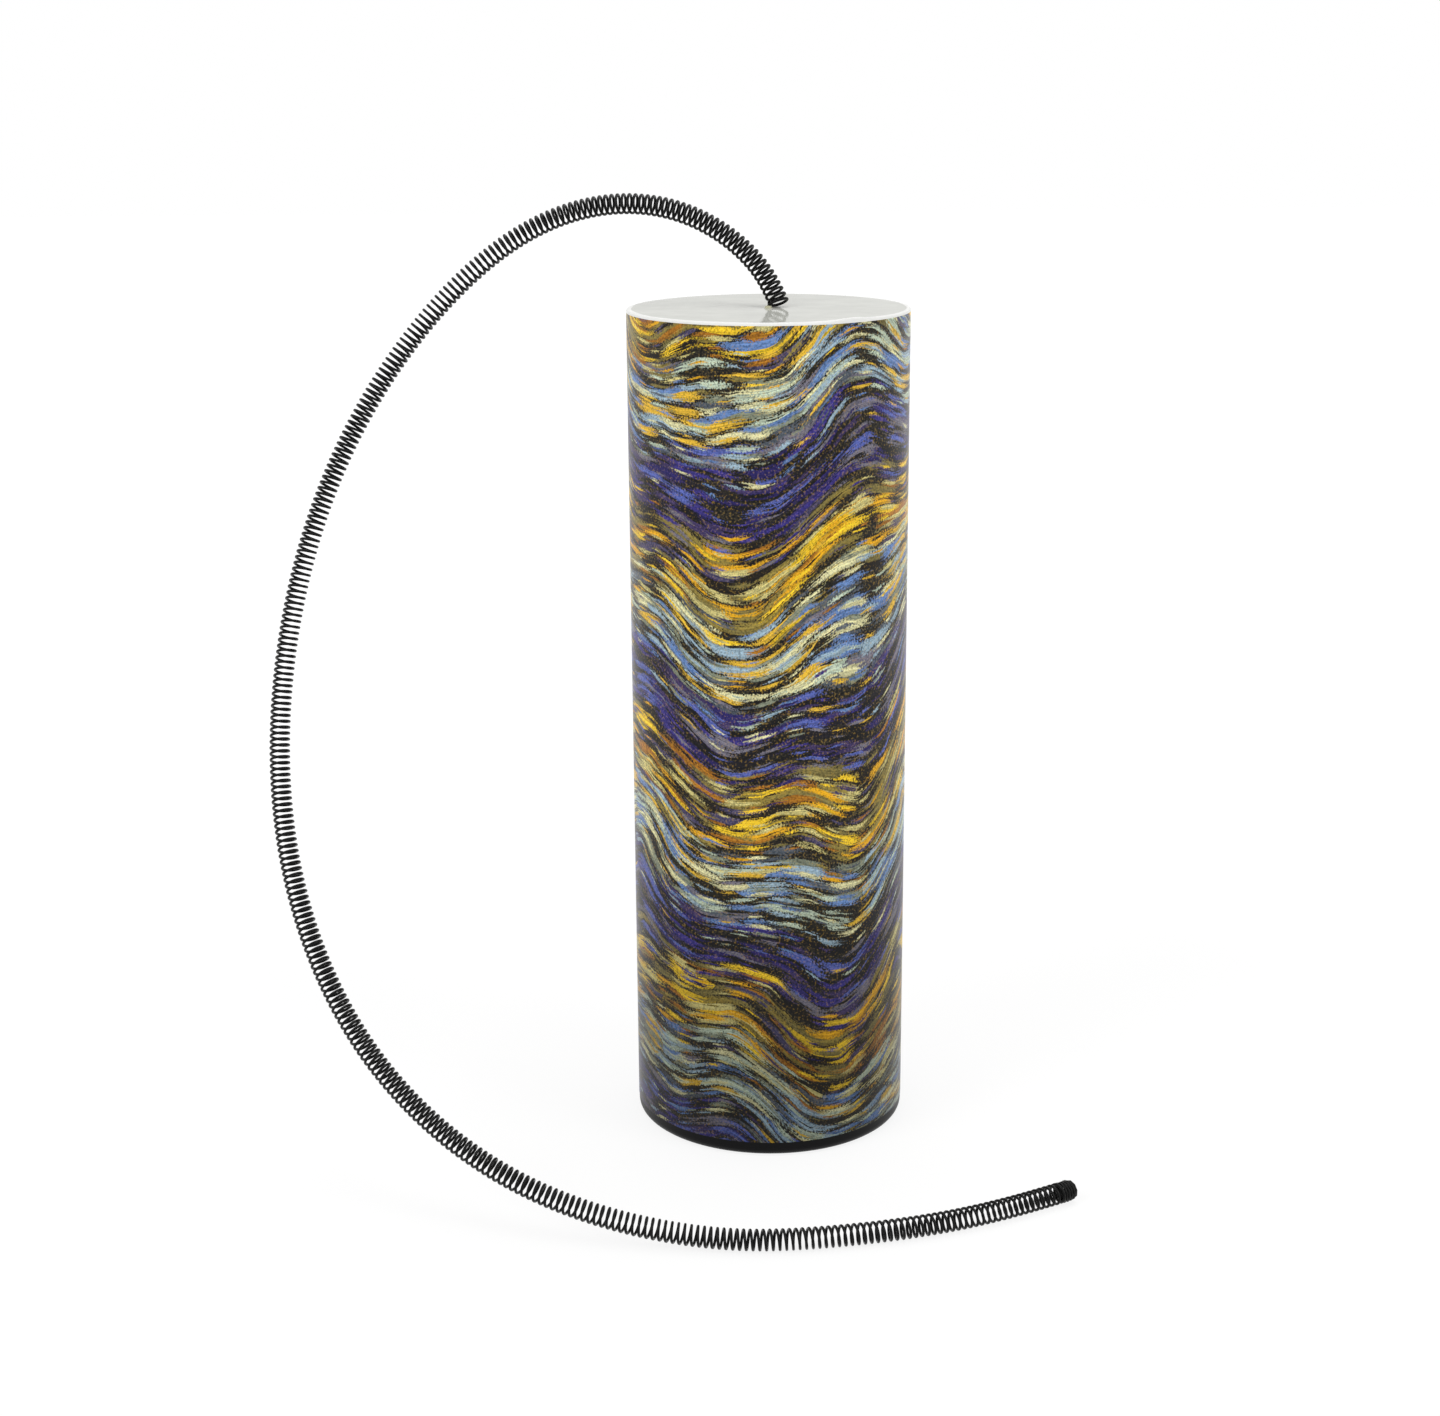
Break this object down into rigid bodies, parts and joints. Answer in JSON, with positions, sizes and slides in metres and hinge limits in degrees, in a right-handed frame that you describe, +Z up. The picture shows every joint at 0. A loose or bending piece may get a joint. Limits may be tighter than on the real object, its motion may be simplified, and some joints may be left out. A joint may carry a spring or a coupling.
{
  "type": "thunder tube",
  "caption": "Hand-held fibreboard tube with a film drumhead on one end and a long steel coil spring hung from the head's centre; shaking it rumbles like thunder.",
  "frame": {"origin": "middle of the face that the tube stands on, at its open end", "axes": "+Z up the tube's axis to the drumhead, -Y to the front of the picture, +X to its right"},
  "size_m": [0.1715, 0.1034, 0.2004],
  "materials": {
    "fibreboard": "matte",
    "printed_paper": "gloss",
    "head_film": "satin",
    "glue": "satin",
    "ring_plastic": "satin",
    "washer_plastic": "matte",
    "bead_glue": "gloss",
    "spring_wire": "satin"
  },
  "bodies": {
    "tube": {"shell_tube": "fibreboard", "printed_wrap": "printed_paper", "drumhead": "head_film", "head_glue": "glue", "end_ring": "ring_plastic", "stop_washer": "washer_plastic", "glue_bead": "bead_glue"},
    "spring_01": {"spring_section_01": "spring_wire"},
    "spring_02": {"spring_section_02": "spring_wire"},
    "spring_03": {"spring_section_03": "spring_wire"},
    "spring_04": {"spring_section_04": "spring_wire"},
    "spring_05": {"spring_section_05": "spring_wire"},
    "spring_06": {"spring_section_06": "spring_wire"},
    "spring_07": {"spring_section_07": "spring_wire"},
    "spring_08": {"spring_section_08": "spring_wire"},
    "spring_09": {"spring_section_09": "spring_wire"},
    "spring_10": {"spring_section_10": "spring_wire"},
    "spring_11": {"spring_section_11": "spring_wire"},
    "spring_12": {"spring_section_12": "spring_wire"},
    "spring_13": {"spring_section_13": "spring_wire"}
  },
  "joints": [
    {"name": "spring_turn", "type": "hinge", "parent": "tube", "child": "spring_01", "pos_m": [0, 0, 0.178], "axis": [0, 0, 1], "range_deg": [-90, 90]},
    {"name": "spring_uncurl", "type": "hinge", "parent": "spring_01", "child": "spring_02", "pos_m": [-0.0013, 0.00389, 0.18513], "axis": [0.4928, 0.8701, 0], "range_deg": [0, 53.1]},
    {"name": "spring_bend_03", "type": "hinge", "parent": "spring_02", "child": "spring_03", "pos_m": [-0.01078, 0.00942, 0.19346], "axis": [0.2915, 0.9191, -0.2652], "range_deg": [0, 23.7]},
    {"name": "spring_bend_04", "type": "hinge", "parent": "spring_03", "child": "spring_04", "pos_m": [-0.02816, 0.01637, 0.19824], "axis": [0.3157, 0.9293, -0.1917], "range_deg": [0, 28.7]},
    {"name": "spring_bend_05", "type": "hinge", "parent": "spring_04", "child": "spring_05", "pos_m": [-0.0502, 0.02264, 0.19269], "axis": [0.3356, 0.8875, -0.3158], "range_deg": [0, 28.1]},
    {"name": "spring_bend_06", "type": "hinge", "parent": "spring_05", "child": "spring_06", "pos_m": [-0.07344, 0.0246, 0.17363], "axis": [0.4055, 0.8194, -0.4052], "range_deg": [0, 20.4]},
    {"name": "spring_bend_07", "type": "hinge", "parent": "spring_06", "child": "spring_07", "pos_m": [-0.09437, 0.01901, 0.14148], "axis": [0.4445, 0.7884, -0.4253], "range_deg": [0, 22.6]},
    {"name": "spring_bend_08", "type": "hinge", "parent": "spring_07", "child": "spring_08", "pos_m": [-0.10523, 0.00206, 0.09858], "axis": [0.3687, 0.828, -0.4223], "range_deg": [0, 18.8]},
    {"name": "spring_bend_09", "type": "hinge", "parent": "spring_08", "child": "spring_09", "pos_m": [-0.10165, -0.01867, 0.06093], "axis": [0.2984, 0.8474, -0.4392], "range_deg": [0, 20.4]},
    {"name": "spring_bend_10", "type": "hinge", "parent": "spring_09", "child": "spring_10", "pos_m": [-0.08583, -0.03918, 0.03206], "axis": [0.2626, 0.8485, -0.4594], "range_deg": [0, 22.7]},
    {"name": "spring_bend_11", "type": "hinge", "parent": "spring_10", "child": "spring_11", "pos_m": [-0.05827, -0.05811, 0.0125], "axis": [0.1071, 0.7818, -0.6142], "range_deg": [0, 22.9]},
    {"name": "spring_bend_12", "type": "hinge", "parent": "spring_11", "child": "spring_12", "pos_m": [-0.02245, -0.06991, 0.00358], "axis": [-0.0313, 0.532, -0.8462], "range_deg": [0, 23.5]},
    {"name": "spring_bend_13", "type": "hinge", "parent": "spring_12", "child": "spring_13", "pos_m": [0.01835, -0.06884, 0.0023], "axis": [-0.0151, 0.0327, -0.9994], "range_deg": [0, 22.7]}
  ],
  "couplings": [
    {"joint": "spring_bend_03", "follows": "spring_uncurl", "ratio": 0.4463},
    {"joint": "spring_bend_04", "follows": "spring_uncurl", "ratio": 0.5404},
    {"joint": "spring_bend_05", "follows": "spring_uncurl", "ratio": 0.5291},
    {"joint": "spring_bend_06", "follows": "spring_uncurl", "ratio": 0.3841},
    {"joint": "spring_bend_07", "follows": "spring_uncurl", "ratio": 0.4256},
    {"joint": "spring_bend_08", "follows": "spring_uncurl", "ratio": 0.354},
    {"joint": "spring_bend_09", "follows": "spring_uncurl", "ratio": 0.3841},
    {"joint": "spring_bend_10", "follows": "spring_uncurl", "ratio": 0.4274},
    {"joint": "spring_bend_11", "follows": "spring_uncurl", "ratio": 0.4312},
    {"joint": "spring_bend_12", "follows": "spring_uncurl", "ratio": 0.4425},
    {"joint": "spring_bend_13", "follows": "spring_uncurl", "ratio": 0.4274}
  ]
}
